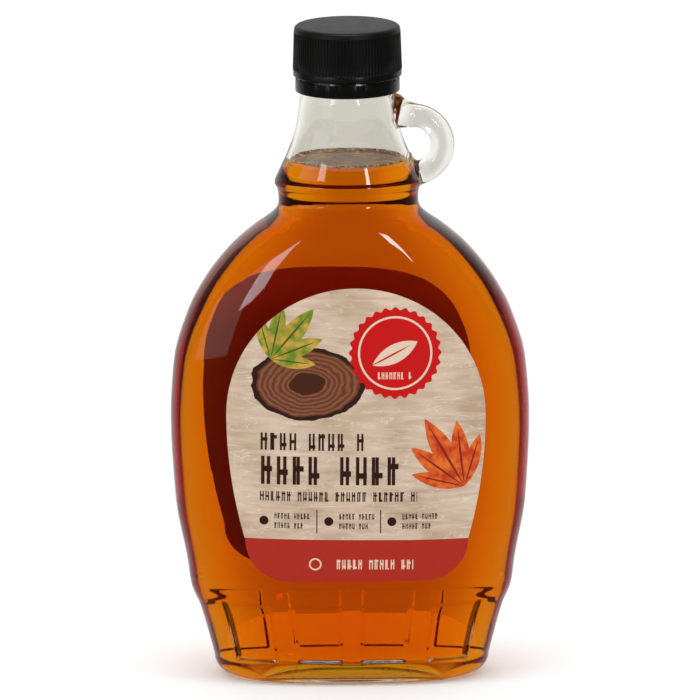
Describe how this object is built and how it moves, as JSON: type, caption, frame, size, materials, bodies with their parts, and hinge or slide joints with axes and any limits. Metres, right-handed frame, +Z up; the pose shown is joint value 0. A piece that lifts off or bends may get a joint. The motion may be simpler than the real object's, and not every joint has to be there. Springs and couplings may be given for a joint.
{
  "type": "maple syrup bottle",
  "caption": "Clear glass flask of amber syrup with a finger loop at the neck, a ribbed black screw cap and plain paper labels front and back.",
  "frame": {"origin": "centre of the base, on the surface that the bottle stands on", "axes": "+Z up along the bottle, +X towards the finger loop, front label faces -Y"},
  "size_m": [0.1026, 0.0447, 0.1891],
  "materials": {
    "flint_glass": "clear smooth soda-lime glass",
    "syrup": "clear amber liquid",
    "cap_plastic": "moulded black polypropylene",
    "label_paper": "printed label paper"
  },
  "bodies": {
    "root": {"bottle": "flint_glass", "syrup": "syrup", "cap": "cap_plastic", "label_front": "label_paper", "label_back": "label_paper"}
  },
  "joints": []
}
